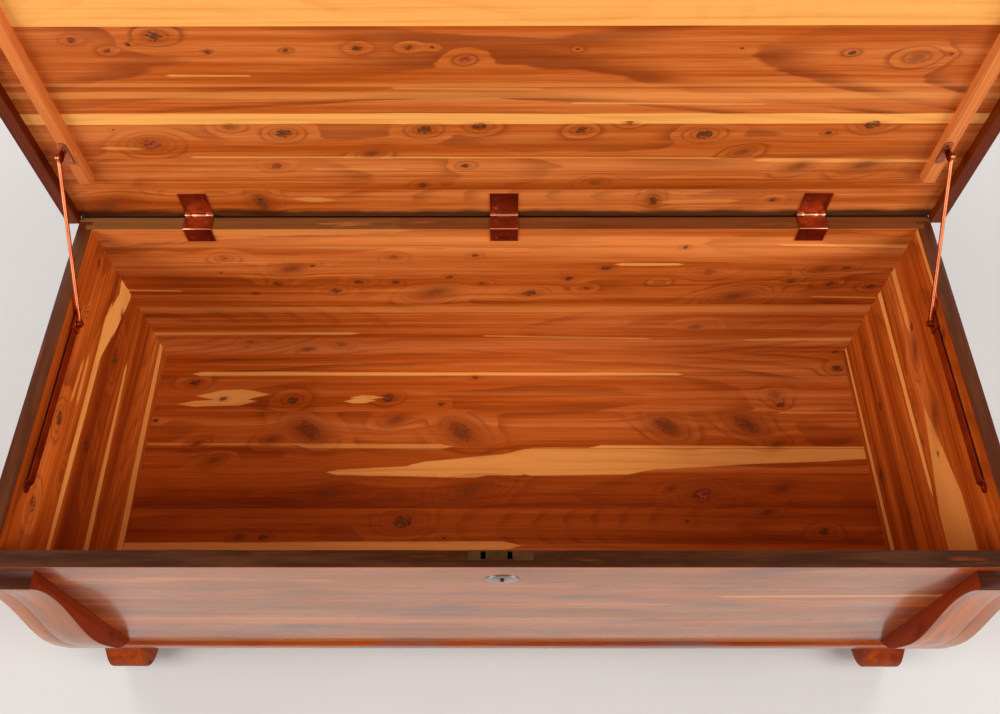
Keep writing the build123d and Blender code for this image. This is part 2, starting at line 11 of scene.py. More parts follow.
import bmesh
import bpy
from mathutils import Matrix, Vector

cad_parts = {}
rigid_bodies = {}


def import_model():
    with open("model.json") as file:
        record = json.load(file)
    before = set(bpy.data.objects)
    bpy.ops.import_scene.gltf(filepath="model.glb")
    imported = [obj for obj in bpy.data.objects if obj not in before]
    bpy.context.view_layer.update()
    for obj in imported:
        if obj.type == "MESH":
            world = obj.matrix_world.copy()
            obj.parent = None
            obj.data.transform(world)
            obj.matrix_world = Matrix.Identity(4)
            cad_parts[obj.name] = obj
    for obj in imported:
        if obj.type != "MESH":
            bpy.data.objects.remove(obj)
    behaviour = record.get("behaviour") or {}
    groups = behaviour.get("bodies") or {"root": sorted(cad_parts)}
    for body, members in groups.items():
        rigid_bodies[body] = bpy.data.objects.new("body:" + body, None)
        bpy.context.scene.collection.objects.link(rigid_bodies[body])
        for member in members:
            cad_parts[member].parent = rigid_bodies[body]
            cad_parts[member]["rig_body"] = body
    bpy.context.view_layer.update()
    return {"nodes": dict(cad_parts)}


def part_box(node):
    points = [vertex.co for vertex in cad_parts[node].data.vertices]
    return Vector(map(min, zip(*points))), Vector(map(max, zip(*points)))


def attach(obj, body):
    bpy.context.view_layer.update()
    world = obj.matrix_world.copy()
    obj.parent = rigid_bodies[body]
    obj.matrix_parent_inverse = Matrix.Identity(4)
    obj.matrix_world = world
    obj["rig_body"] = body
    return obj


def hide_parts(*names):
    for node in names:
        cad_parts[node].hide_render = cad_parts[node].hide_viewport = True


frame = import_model()
nodes = frame["nodes"]
scene = bpy.context.scene

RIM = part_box("front_board_top")[1].z
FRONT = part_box("front_board_top")[0].y
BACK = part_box("back_board_top")[1].y
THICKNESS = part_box("front_board_top")[1].y - FRONT
HALF_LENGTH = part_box("front_board_top")[1].x
LID_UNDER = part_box("lid_board_1")[0].y


# ---- arithmetic on shader values ----
class Field:
    """A number that varies over a surface. Arithmetic on it adds nodes to its tree."""

    def __init__(self, tree, socket):
        self.tree = tree
        self.socket = socket

    def math(self, operation, *others, clamp=False):
        node = self.tree.nodes.new("ShaderNodeMath")
        node.operation = operation
        node.use_clamp = clamp
        for index, value in enumerate((self, *others)):
            feed(self.tree, node.inputs[index], value)
        return Field(self.tree, node.outputs[0])

    def __add__(self, other):
        return self.math("ADD", other)

    def __sub__(self, other):
        return self.math("SUBTRACT", other)

    def __mul__(self, other):
        return self.math("MULTIPLY", other)

    def __truediv__(self, other):
        return self.math("DIVIDE", other)

    def __abs__(self):
        return self.math("ABSOLUTE")

    def minus_from(self, number):
        """number - self"""
        return self.math("MULTIPLY_ADD", -1.0, number)

    def low(self, other):
        return self.math("MINIMUM", other)

    def high(self, other):
        return self.math("MAXIMUM", other)

    def root(self):
        return self.math("SQRT")

    def power(self, exponent):
        return self.math("POWER", exponent)

    def rise(self, start, end, low=0.0, high=1.0):
        """A smooth step from low at start to high at end."""
        node = self.tree.nodes.new("ShaderNodeMapRange")
        node.interpolation_type = "SMOOTHSTEP"
        feed(self.tree, node.inputs[0], self)
        for index, value in enumerate((start, end, low, high), start=1):
            node.inputs[index].default_value = value
        return Field(self.tree, node.outputs[0])

    def scale(self, start, end, low=0.0, high=1.0):
        """A straight, clamped ramp from low at start to high at end."""
        node = self.tree.nodes.new("ShaderNodeMapRange")
        feed(self.tree, node.inputs[0], self)
        for index, value in enumerate((start, end, low, high), start=1):
            node.inputs[index].default_value = value
        return Field(self.tree, node.outputs[0])


def feed(tree, socket, value):
    """Link a field or a socket into an input, or set it to a constant."""
    if isinstance(value, Field):
        tree.links.new(value.socket, socket)
    elif isinstance(value, bpy.types.NodeSocket):
        tree.links.new(value, socket)
    else:
        socket.default_value = value


def vector(tree, x, y, z):
    node = tree.nodes.new("ShaderNodeCombineXYZ")
    for index, value in enumerate((x, y, z)):
        feed(tree, node.inputs[index], value)
    return node.outputs[0]


def noise(tree, place, detail=2.0, roughness=0.5):
    """Smooth noise from 0 to 1 at a place, three fields already scaled to the wanted size."""
    node = tree.nodes.new("ShaderNodeTexNoise")
    tree.links.new(vector(tree, *place), node.inputs["Vector"])
    node.inputs["Scale"].default_value = 1.0
    node.inputs["Detail"].default_value = detail
    node.inputs["Roughness"].default_value = roughness
    return Field(tree, node.outputs[0])


def blend(tree, factor, first, second, mode="MIX"):
    """A colour from first to second. A colour is a socket or three linear numbers."""
    node = tree.nodes.new("ShaderNodeMix")
    node.data_type = "RGBA"
    node.blend_type = mode
    feed(tree, node.inputs[0], factor)
    for index, colour in ((6, first), (7, second)):
        feed(tree, node.inputs[index], colour if isinstance(colour, bpy.types.NodeSocket) else (*colour, 1.0))
    return node.outputs[2]


def ramp(tree, field, stops):
    """A colour from a field, through (position, colour) stops."""
    node = tree.nodes.new("ShaderNodeValToRGB")
    tree.links.new(field.socket, node.inputs[0])
    elements = node.color_ramp.elements
    for element, (position, colour) in zip(elements, (stops[0], stops[-1])):
        element.position = position
        element.color = (*colour, 1.0)
    for position, colour in stops[1:-1]:
        elements.new(position).color = (*colour, 1.0)
    return node.outputs[0]


def new_material(name):
    """A material with an empty Principled shader, its tree and that shader."""
    material = bpy.data.materials.new(name)
    material.use_nodes = True
    tree = material.node_tree
    return material, tree, tree.nodes["Principled BSDF"]


def bump(tree, shader, height, distance):
    node = tree.nodes.new("ShaderNodeBump")
    node.inputs["Strength"].default_value = 1.0
    node.inputs["Distance"].default_value = distance
    tree.links.new(height.socket, node.inputs["Height"])
    tree.links.new(node.outputs[0], shader.inputs["Normal"])


def place_fields(tree):
    """The object's own x, y and z as fields."""
    coordinates = tree.nodes.new("ShaderNodeTexCoord")
    split = tree.nodes.new("ShaderNodeSeparateXYZ")
    tree.links.new(coordinates.outputs["Object"], split.inputs[0])
    return [Field(tree, output) for output in split.outputs]


# ---- cedar ----
HEART_DARK = (0.200, 0.024, 0.002)
HEART_MID = (0.462, 0.088, 0.008)
HEART_LIGHT = (0.704, 0.210, 0.050)
SAP = (0.900, 0.400, 0.095)
SAP_SHADE = (0.740, 0.255, 0.050)
# Painted reflection of the pale floor on the lacquered faces.
REFLECTION_TINT = (0.530, 0.290, 0.130)
REFLECTION_STRENGTH = 0.30
# Blue-grey of dark wood greyed by a painted reflection under the lacquer.
REFLECTION_SMUDGE = (0.150, 0.088, 0.080)
LATE = (0.190, 0.026, 0.003)
DARK_TRIM = (0.62, 0.46, 0.28)
DARK_FLANK = (0.50, 0.28, 0.16)
DARK_SKIRT = (0.44, 0.36, 0.20)
KNOT_BARK = (0.045, 0.011, 0.004)
KNOT_HEART = (0.160, 0.052, 0.018)
KNOT_RED = (0.480, 0.060, 0.030)
KNOT_SHADE = (0.200, 0.030, 0.004)
# Dark stain on the rim's top, also used as painted shade along the lid's lower edge.
STAIN_AND_SHADE = (0.034, 0.009, 0.003)
STAIN_WORN = (0.080, 0.024, 0.008)

# Each kind of knot: how solid its core is, how dark the ring round it, how far it shades the wood, its slant
# and how tall it stands across the grain.
KNOT_KINDS = {
    "tight": (0.85, 0.85, 0.50, 0.2, 1.0),
    "dot": (1.00, 0.40, 0.15, 0.0, 1.0),
    "red": (0.75, 0.45, 0.45, 0.3, 1.0),
    "pale": (0.40, 0.30, 0.30, 0.2, 1.0),
    "smear": (0.30, 0.10, 0.75, 0.9, 1.1),
    "lean": (0.50, 0.35, 0.80, -0.9, 1.5),
    "spike": (0.75, 0.30, 0.70, -0.2, 2.6),
}


def knot_group():
    """A knot at (along, across): how it bends the grain, and its core, ring and the shade round it."""
    group = bpy.data.node_groups.new("knot", "ShaderNodeTree")
    for name in ("u", "v", "along", "across", "radius", "slant", "tall", "ragged"):
        group.interface.new_socket(name, in_out="INPUT", socket_type="NodeSocketFloat")
    for name in ("bend", "eye", "core", "ring", "shade"):
        group.interface.new_socket(name, in_out="OUTPUT", socket_type="NodeSocketFloat")
    start = group.nodes.new("NodeGroupInput")
    end = group.nodes.new("NodeGroupOutput")
    u, v, along, across, radius, slant, tall, ragged = [Field(group, output) for output in start.outputs[:8]]
    dv = (v - across) / (radius * tall)
    du = (u - along) / radius - slant * dv
    reach = (((du * 0.30).power(2.0) + (dv * 0.55).power(2.0)) * -1.0).math("EXPONENT")
    near = (((du * 0.42).power(2.0) + (dv * 0.75).power(2.0)) * -1.0).math("EXPONENT")
    distance = ((du * 1.0).power(2.0) + (dv * 1.4).power(2.0)).root() + (ragged - 0.5) * 0.9
    outputs = (
        (v - across) * reach * -0.8,
        reach * radius,
        distance.rise(1.0, 0.5),
        distance.rise(0.60, 0.92) * distance.rise(1.35, 1.0),
        near,
    )
    for field, socket in zip(outputs, end.inputs):
        group.links.new(field.socket, socket)
    return group


KNOT = knot_group()


def grow_knot(tree, u, v, knot, ragged):
    node = tree.nodes.new("ShaderNodeGroup")
    node.node_tree = KNOT
    along, across, radius, kind = knot
    slant, tall = KNOT_KINDS[kind][3:]
    for socket, value in zip(node.inputs, (u, v, along, across, radius, slant, tall, ragged)):
        feed(tree, socket, value)
    return [Field(tree, output) for output in node.outputs]


def sapwood(u, v, wobble, streak):
    """Mask of a pale streak given by its two ends, each (along, across, half width), and its strength."""
    (u0, v0, h0), (u1, v1, h1), strength = streak
    along = u.scale(u0, u1)
    middle = along * (v1 - v0) + v0
    half = along * (h1 - h0) + h0
    half = half.low((u - u0) * 0.24).low(u.minus_from(u1) * 0.24)
    return (half - abs(v - middle) + wobble).rise(-0.0004, 0.0013, 0.0, strength)


class Wood:
    """How one board was cut, and how it looks."""

    def __init__(self, seed, tone=0.5, figure=0.6, centre=0.0, depth=0.014, pitch=0.0030, sap=0.0, vary=1.0):
        self.seed = seed
        self.tone = tone  # 0 for dark heartwood, 1 for light
        self.figure = figure  # strength of the ring lines
        self.centre = centre  # where across the board its pith lay
        self.depth = depth  # how far under its face
        self.pitch = pitch  # between rings
        self.sap = sap  # share of sapwood all over
        self.vary = vary  # strength of its light and dark bands


def highest(fields):
    top = None
    for field in fields:
        top = field if top is None else top.high(field)
    return top


def cedar_colour(tree, u, v, w, wood, knots, streaks, lines):
    """The wood's colour, its roughness and its relief, at along u, across v and through w."""
    seed = wood.seed * 7.31
    sway = (noise(tree, (u * 1.7 + seed, v * 6.0, w * 6.0 + seed), 1.0) - 0.5) * 0.020
    ripple = (noise(tree, (u * 9.0 + seed, v * 60.0, w * 30.0), 2.0) - 0.5) * 0.0016
    ragged = noise(tree, (u * 170.0 + seed, v * 260.0, w * 60.0), 2.0, 0.6)
    grown = [(knot[3], grow_knot(tree, u, v, knot, ragged)) for knot in knots]
    bent = v
    eye = None
    for kind, knot in grown:
        bent = bent + knot[0]
        eye = knot[1] if eye is None else eye + knot[1]
    shade = highest(knot[4] * KNOT_KINDS[kind][2] for kind, knot in grown)
    pith = noise(tree, (u * 0.7 + seed, v * 0.8, w * 1.0 + seed), 1.0)
    pith_depth = pith.scale(0.3, 0.7, 0.2, 2.2) * wood.depth
    ring_radius = ((bent - wood.centre + sway).power(2.0) + (pith_depth + w).power(2.0)).root() + ripple
    if eye is not None:
        ring_radius = ring_radius + eye * 1.1
    turn = (ring_radius / wood.pitch).math("FRACT")
    late = turn.rise(0.50, 0.88) * turn.rise(1.0, 0.93)
    spread = noise(tree, (u * 2.0 + seed, v * 30.0, w * 9.0), 2.0).rise(0.36, 0.62, 0.15, 1.0) * wood.figure
    if shade is not None:
        spread = spread * (shade * -1.1 + 1.0)
    late = (late * spread).math("ADD", 0.0, clamp=True)

    broad = noise(tree, (u * 0.7 + seed, bent * 24.0, w * 15.0 + seed), 2.0, 0.55)
    narrow = noise(tree, (u * 2.2 + seed, bent * 150.0, w * 90.0), 3.0, 0.65)
    fibre = noise(tree, (u * 16.0, v * 900.0, w * 900.0 + seed), 2.0, 0.7)
    vary = wood.vary
    level = (broad - 0.5) * (1.5 * vary) + (narrow - 0.5) * (1.1 * vary) + (fibre - 0.5) * 0.5 + wood.tone
    colour = ramp(tree, level, ((0.05, HEART_DARK), (0.5, HEART_MID), (0.95, HEART_LIGHT)))
    colour = blend(tree, late * 0.72, colour, LATE)
    flecks = noise(tree, (u * 5.0 + seed, bent * 210.0, w * 90.0), 1.0).rise(0.69, 0.82) * 0.4
    colour = blend(tree, flecks, colour, LATE)

    wobble = ripple * 1.5 + (noise(tree, (u * 4.0 + seed, v * 150.0, seed), 2.0) - 0.5) * 0.0042
    pale = highest(sapwood(u, v, wobble, streak) for streak in streaks)
    if wood.sap:
        pale_all = noise(tree, (u * 0.9 + seed, v * 20.0, seed), 2.0)
        pale_all = pale_all.rise(0.1, 0.40, wood.sap * 0.8, wood.sap)
        pale = pale_all if pale is None else pale.high(pale_all)
    if pale is not None:
        grain = late * 0.35 + narrow.rise(0.45, 0.75) * 0.7
        colour = blend(tree, pale, colour, blend(tree, grain, SAP, SAP_SHADE))
    if shade is not None:
        colour = blend(tree, shade * narrow.scale(0.25, 0.65, 0.4, 1.2), colour, KNOT_SHADE)
        core = highest(knot[2] * KNOT_KINDS[kind][0] for kind, knot in grown)
        colour = blend(tree, core, colour, blend(tree, ragged.rise(0.22, 0.75), KNOT_BARK, KNOT_HEART))
        red = highest(knot[2] for kind, knot in grown if kind == "red")
        if red is not None:
            colour = blend(tree, red * ragged.rise(0.35, 0.60) * 0.85, colour, KNOT_RED)
        ring = highest(knot[3] * KNOT_KINDS[kind][1] for kind, knot in grown)
        colour = blend(tree, ring * ragged.rise(0.62, 0.42), colour, KNOT_BARK)
    for line in lines:
        seam = abs(v - line).rise(0.0011, 0.0003)
        colour = blend(tree, seam * 0.55, colour, LATE)
    rough = narrow.scale(0.25, 0.75, 0.42, 0.58)
    relief = late * -0.4 + fibre * 0.6 + narrow * 0.5
    return colour, rough, relief


AXES = {"x": 0, "y": 1, "z": 2}
ORIGIN = {"x": 0.0, "y": FRONT, "z": RIM}


def cedar(
    name, along, across, wood, knots=(), streaks=(), lines=(), finish="satin", rim=None, lower_edge_shade=0.0, tint=None,
    sheen=0.12, painted_reflection=None,
):
    """Cedar whose grain runs along one axis and whose face spans another.

    rim darkens its top edge with a stain, and lower_edge_shade paints shade along its lower edge.
    painted_reflection pales a lacquered face with a painted reflection of the floor: "even" all over, or
    "fading" towards the ends of the chest and its rim. tint multiplies the colour, and sheen is the bare
    wood's gloss.
    """
    material, tree, shader = new_material(name)
    place = place_fields(tree)
    through = ({"x", "y", "z"} - {along, across}).pop()
    u, v, w = [place[AXES[axis]] - ORIGIN[axis] for axis in (along, across, through)]
    colour, rough, relief = cedar_colour(tree, u, v, w, wood, knots, streaks, lines)
    # Painted shade: the board darkens towards its lower edge, by the hinges, with a ragged border.
    if lower_edge_shade:
        shade_border = noise(tree, (u * 7.0, v * 9.0, float(wood.seed)), 3.0, 0.6) * 0.022
        colour = blend(tree, (v - shade_border).rise(0.004, -0.008) * lower_edge_shade, colour, STAIN_AND_SHADE)
    if rim:
        worn = noise(tree, (u * 6.0 + wood.seed, v * 60.0, w * 60.0), 3.0, 0.65)
        top = (place[2] - RIM).rise(-0.0012, -0.0003) * worn.rise(0.25, 0.42, 0.55, 1.0)
        colour = blend(tree, top * rim, colour, blend(tree, worn.rise(0.35, 0.7), STAIN_AND_SHADE, STAIN_WORN))
    # Painted reflection of the floor pales the lacquer: all over for "even", falling off towards the ends of
    # the chest and towards the rim for "fading".
    if painted_reflection:
        pale = REFLECTION_STRENGTH
        if painted_reflection == "fading":
            pale = abs(place[0]).rise(0.560, 0.455) * (place[2] - RIM).rise(-0.001, -0.008) * pale
        colour = blend(tree, pale, colour, REFLECTION_TINT)
    if tint:
        colour = blend(tree, 1.0, colour, tint, "MULTIPLY")
    if finish == "lacquer":
        # Blue-grey smudges on the lacquer: dark wood greyed by a painted reflection of the floor.
        reflection_smudge = noise(tree, (u * 4.5, v * 34.0, w * 20.0), 3.0, 0.6)
        colour = blend(tree, reflection_smudge.rise(0.50, 0.68) * 0.70, colour, REFLECTION_SMUDGE)
        rough = noise(tree, (u * 5.0, v * 22.0, w * 22.0), 3.0).scale(0.3, 0.7, 0.20, 0.42)
        shader.inputs["Coat Weight"].default_value = 0.6 if tint is None else 0.4
        shader.inputs["Coat Roughness"].default_value = 0.12
        shader.inputs["Coat IOR"].default_value = 1.42
        bump(tree, shader, relief, 0.00006)
    else:
        bump(tree, shader, relief, 0.00022)
    tree.links.new(colour, shader.inputs["Base Color"])
    tree.links.new(rough.socket, shader.inputs["Roughness"])
    shader.inputs["Specular IOR Level"].default_value = 0.2 if finish == "lacquer" else sheen
    return material


# ---- metals ----
def metal(name, bright, dull, rough, grain=240.0):
    """Plated metal, bright where it is rubbed and dull in patches, with fine scratches."""
    material, tree, shader = new_material(name)
    x, y, z = place_fields(tree)
    patch = noise(tree, (x * 26.0, y * 26.0, z * 26.0), 3.0, 0.5)
    scratch = noise(tree, (x * grain, y * grain * 5.0, z * grain), 2.0, 0.6)
    speck = noise(tree, (x * 1100.0, y * 1100.0, z * 1100.0), 1.0)
    colour = blend(tree, patch.rise(0.30, 0.72), bright, dull)
    colour = blend(tree, speck.rise(0.64, 0.78) * 0.35, colour, tuple(part * 0.35 for part in dull))
    tree.links.new(colour, shader.inputs["Base Color"])
    tree.links.new((patch * 0.16 + scratch * 0.10 + (rough - 0.13)).socket, shader.inputs["Roughness"])
    shader.inputs["Metallic"].default_value = 1.0
    bump(tree, shader, scratch * 0.5 + speck * 0.3, 0.00003)
    return material


COPPER = metal("coppered_steel", (0.540, 0.150, 0.055), (0.340, 0.072, 0.026), 0.36)
# A brighter copy of the copper that paints the highlights on the hinge knuckles, pins and bends.
HIGHLIGHT_COPPER = metal("copper_painted_highlight", (0.950, 0.480, 0.270), (0.800, 0.300, 0.140), 0.34, grain=90.0)
ROD_COPPER = metal("rod_copper", (0.560, 0.160, 0.066), (0.380, 0.088, 0.034), 0.30, grain=50.0)
SCREW_COPPER = metal("screw_copper", (0.800, 0.330, 0.170), (0.260, 0.075, 0.030), 0.30)
BRASS = metal("aged_brass", (0.190, 0.085, 0.034), (0.085, 0.036, 0.016), 0.50)
NICKEL = metal("worn_nickel", (0.520, 0.490, 0.450), (0.260, 0.230, 0.205), 0.36)


# ---- pieces made from the CAD nodes' shapes ----
def eased(node, materials, pick, width=0.0012, edges=None, segments=2):
    """A copy of a CAD node with its edges eased, that stands for the node.

    pick gives a face's material number from its middle and normal; edges says which edges are eased.
    """
    mesh = nodes[node].data.copy()
    mesh.materials.clear()
    for material in materials:
        mesh.materials.append(material)
    shape = bmesh.new()
    shape.from_mesh(mesh)
    bmesh.ops.remove_doubles(shape, verts=shape.verts, dist=1e-6)
    bmesh.ops.dissolve_limit(shape, angle_limit=radians(1.0), verts=shape.verts, edges=shape.edges)
    sharp = [
        edge
        for edge in shape.edges
        if len(edge.link_faces) == 2
        and edge.calc_face_angle() > radians(35)
        and (edges is None or edges(edge.verts[0].co, edge.verts[1].co))
    ]
    bmesh.ops.bevel(
        shape, geom=sharp, offset=width, segments=segments, profile=0.6, affect="EDGES", clamp_overlap=True
    )
    for face in shape.faces:
        face.material_index = pick(face.calc_center_median(), face.normal)
        face.smooth = True
    shape.to_mesh(mesh)
    shape.free()
    piece = bpy.data.objects.new(f"{node}_eased", mesh)
    scene.collection.objects.link(piece)
    mesh.set_sharp_from_angle(angle=radians(30))
    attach(piece, nodes[node]["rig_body"])
    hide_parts(node)


def dress(node, material):
    """Give a CAD node that is shown as it is its own material."""
    mesh = nodes[node].data
    mesh.materials.clear()
    mesh.materials.append(material)


# ---- the panels: what grows in each, read across its boards ----
# Another program worked out most of these places, from picks made one by one.
# A knot is (along, across, radius, kind). A streak of sapwood is two ends, each (along, across, half width).
LID_KNOTS = (
    (-0.402, 0.314, 0.0085, "tight"),
    (-0.500, 0.308, 0.0040, "tight"),
    (-0.436, 0.302, 0.0030, "dot"),
    (-0.464, 0.293, 0.0035, "tight"),
    (-0.347, 0.291, 0.0032, "tight"),
    (-0.255, 0.293, 0.0032, "tight"),
    (-0.171, 0.296, 0.0045, "tight"),
    (-0.111, 0.297, 0.0040, "tight"),
    (-0.084, 0.297, 0.0025, "dot"),
    (-0.046, 0.279, 0.0060, "red"),
    (0.086, 0.294, 0.0022, "dot"),
    (0.277, 0.295, 0.0024, "dot"),
    (0.407, 0.288, 0.0036, "tight"),
    (0.487, 0.281, 0.0095, "pale"),
    (0.524, 0.286, 0.0024, "dot"),
    (-0.463, 0.141, 0.0120, "red"),
    (-0.351, 0.172, 0.0070, "pale"),
    (-0.285, 0.160, 0.0085, "tight"),
    (-0.503, 0.167, 0.0022, "dot"),
    (-0.102, 0.166, 0.0080, "tight"),
    (-0.032, 0.172, 0.0070, "tight"),
    (0.099, 0.165, 0.0060, "tight"),
    (0.161, 0.179, 0.0050, "red"),
    (0.259, 0.157, 0.0085, "tight"),
    (0.418, 0.160, 0.0036, "tight"),
    (0.470, 0.174, 0.0075, "tight"),
    (0.314, 0.125, 0.0070, "smear"),
    (-0.175, 0.124, 0.0070, "smear"),
    (-0.307, 0.100, 0.0060, "red"),
    (0.484, 0.100, 0.0110, "smear"),
    (0.396, 0.098, 0.0090, "smear"),
    (-0.053, 0.100, 0.0050, "tight"),
    (-0.113, 0.061, 0.0048, "tight"),
    (0.125, 0.066, 0.0065, "pale"),
    (-0.343, 0.024, 0.0080, "spike"),
    (0.210, 0.030, 0.0060, "spike"),
    (0.379, 0.030, 0.0040, "tight"),
    (-0.560, 0.022, 0.0150, "smear"),
)
LID_STREAKS = (
    ((-0.70, 0.186, 0.0095), (0.70, 0.184, 0.0090), 1.0),
    ((-0.70, 0.225, 0.0060), (0.70, 0.222, 0.0050), 0.35),
    ((-0.70, 0.241, 0.0030), (0.70, 0.239, 0.0030), 0.30),
    ((-0.410, 0.256, 0.0022), (-0.300, 0.255, 0.0018), 0.60),
    ((-0.535, 0.134, 0.0040), (-0.470, 0.132, 0.0030), 0.45),
    ((-0.420, 0.117, 0.0018), (0.290, 0.114, 0.0015), 0.65),
    ((0.330, 0.110, 0.0040), (0.610, 0.108, 0.0035), 0.80),
    ((-0.260, 0.094, 0.0022), (-0.130, 0.093, 0.0018), 0.35),
    ((0.080, 0.211, 0.0018), (0.330, 0.209, 0.0016), 0.70),
    ((0.215, 0.026, 0.0050), (0.335, 0.029, 0.0036), 0.35),
    ((-0.300, 0.034, 0.0060), (-0.235, 0.030, 0.0050), 0.40),
    ((-0.140, 0.236, 0.0020), (0.050, 0.233, 0.0018), 0.35),
)
BACK_KNOTS = (
    (-0.417, -0.068, 0.0070, "pale"),
    (-0.432, -0.104, 0.0028, "dot"),
    (-0.350, -0.133, 0.0060, "tight"),
    (-0.391, -0.158, 0.0036, "tight"),
    (-0.264, -0.151, 0.0070, "tight"),
    (-0.321, -0.093, 0.0110, "smear"),
    (-0.289, -0.087, 0.0028, "tight"),
    (-0.225, -0.129, 0.0060, "tight"),
    (-0.167, -0.129, 0.0050, "tight"),
    (-0.109, -0.156, 0.0150, "smear"),
    (-0.084, -0.116, 0.0040, "tight"),
    (-0.034, -0.133, 0.0045, "tight"),
    (-0.164, -0.066, 0.0060, "pale"),
    (-0.043, -0.062, 0.0040, "tight"),
    (0.098, -0.120, 0.0060, "tight"),
    (0.155, -0.093, 0.0065, "tight"),
    (0.040, -0.159, 0.0085, "tight"),
    (0.128, -0.145, 0.0045, "tight"),
    (0.241, -0.130, 0.0050, "pale"),
    (0.311, -0.103, 0.0090, "pale"),
    (0.362, -0.168, 0.0150, "smear"),
    (0.266, -0.043, 0.0036, "tight"),
    (0.441, -0.127, 0.0055, "tight"),
    (0.481, -0.096, 0.0085, "smear"),
    (0.517, -0.093, 0.0050, "tight"),
    (0.505, -0.134, 0.0050, "tight"),
    (0.571, -0.142, 0.0060, "tight"),
    (-0.432, -0.302, 0.0060, "pale"),
    (-0.340, -0.325, 0.0060, "smear"),
    (0.574, -0.335, 0.0040, "tight"),
    (0.318, -0.255, 0.0100, "pale"),
    (-0.280, -0.310, 0.0080, "pale"),
)
BACK_STREAKS = (
    ((-0.455, -0.006, 0.0090), (-0.130, -0.004, 0.0080), 0.30),
    ((-0.72, 0.003, 0.0050), (-0.440, 0.003, 0.0050), 0.60),
    ((-0.66, -0.148, 0.0045), (-0.500, -0.152, 0.0020), 0.70),
    ((-0.66, -0.276, 0.0045), (-0.240, -0.275, 0.0040), 0.75),
    ((-0.040, -0.283, 0.0024), (0.250, -0.292, 0.0030), 0.55),
    ((0.400, -0.296, 0.0030), (0.70, -0.293, 0.0070), 0.90),
    ((0.480, -0.168, 0.0020), (0.66, -0.174, 0.0018), 0.65),
    ((0.160, -0.084, 0.0040), (0.275, -0.084, 0.0035), 0.80),
    ((0.400, -0.037, 0.0020), (0.66, -0.043, 0.0060), 0.75),
    ((-0.430, -0.079, 0.0018), (-0.280, -0.077, 0.0016), 0.45),
    ((-0.660, -0.205, 0.0080), (0.66, -0.203, 0.0090), 0.30),
)
FLOOR_KNOTS = (
    (-0.530, 0.437, 0.0075, "tight"),
    (-0.357, 0.404, 0.0080, "tight"),
    (-0.196, 0.408, 0.0085, "tight"),
    (-0.106, 0.396, 0.0040, "tight"),
    (-0.476, 0.406, 0.0045, "tight"),
    (-0.583, 0.365, 0.0040, "dot"),
    (-0.506, 0.323, 0.0070, "smear"),
    (-0.384, 0.330, 0.0090, "smear"),
    (-0.326, 0.346, 0.0150, "lean"),
    (-0.070, 0.343, 0.0150, "lean"),
    (-0.180, 0.367, 0.0100, "smear"),
    (-0.474, 0.292, 0.0080, "smear"),
    (-0.281, 0.235, 0.0160, "smear"),
    (-0.054, 0.241, 0.0160, "smear"),
    (-0.160, 0.187, 0.0120, "tight"),
    (-0.375, 0.160, 0.0050, "tight"),
    (-0.413, 0.161, 0.0050, "smear"),
    (-0.093, 0.160, 0.0035, "dot"),
    (0.458, 0.414, 0.0090, "pale"),
    (0.465, 0.394, 0.0055, "tight"),
    (0.271, 0.353, 0.0140, "lean"),
    (0.403, 0.358, 0.0140, "lean"),
    (0.448, 0.321, 0.0070, "smear"),
    (0.316, 0.231, 0.0140, "red"),
    (0.444, 0.243, 0.0080, "smear"),
    (0.267, 0.243, 0.0050, "smear"),
    (0.287, 0.188, 0.0030, "dot"),
    (0.498, 0.171, 0.0070, "tight"),
    (0.415, 0.203, 0.0060, "smear"),
    (0.573, 0.464, 0.0080, "tight"),
    (-0.050, 0.448, 0.0040, "tight"),
)
FLOOR_STREAKS = (
    ((-0.540, 0.455, 0.0050), (0.310, 0.454, 0.0035), 0.90),
    ((-0.550, 0.396, 0.0060), (-0.415, 0.402, 0.0080), 0.85),
    ((-0.525, 0.411, 0.0110), (-0.395, 0.415, 0.0120), 0.85),
    ((-0.500, 0.404, 0.0120), (-0.420, 0.408, 0.0120), 0.85),
    ((-0.275, 0.401, 0.0050), (-0.215, 0.403, 0.0050), 0.80),
    ((-0.262, 0.408, 0.0050), (-0.205, 0.409, 0.0040), 0.70),
    ((-0.290, 0.271, 0.0040), (0.010, 0.276, 0.0160), 0.90),
    ((-0.180, 0.276, 0.0100), (0.110, 0.290, 0.0240), 0.90),
    ((-0.060, 0.290, 0.0260), (0.300, 0.290, 0.0230), 0.90),
    ((0.060, 0.294, 0.0270), (0.85, 0.311, 0.0040), 0.90),
    ((-0.70, 0.322, 0.0022), (-0.320, 0.321, 0.0026), 0.55),
    ((-0.340, 0.318, 0.0045), (-0.080, 0.317, 0.0055), 0.65),
    ((-0.66, 0.146, 0.0060), (0.030, 0.148, 0.0080), 0.80),
    ((0.455, 0.379, 0.0022), (0.66, 0.379, 0.0022), 0.60),
)
LEFT_KNOTS = (
    (0.379, -0.162, 0.0110, "tight"),
    (0.287, -0.147, 0.0042, "tight"),
    (0.225, -0.145, 0.0080, "tight"),
    (0.196, -0.178, 0.0095, "smear"),
    (0.221, -0.055, 0.0080, "tight"),
    (0.387, -0.051, 0.0030, "dot"),
    (0.450, -0.150, 0.0045, "tight"),
    (0.098, -0.050, 0.0080, "tight"),
    (0.158, -0.100, 0.0065, "pale"),
    (0.468, -0.045, 0.0040, "tight"),
)
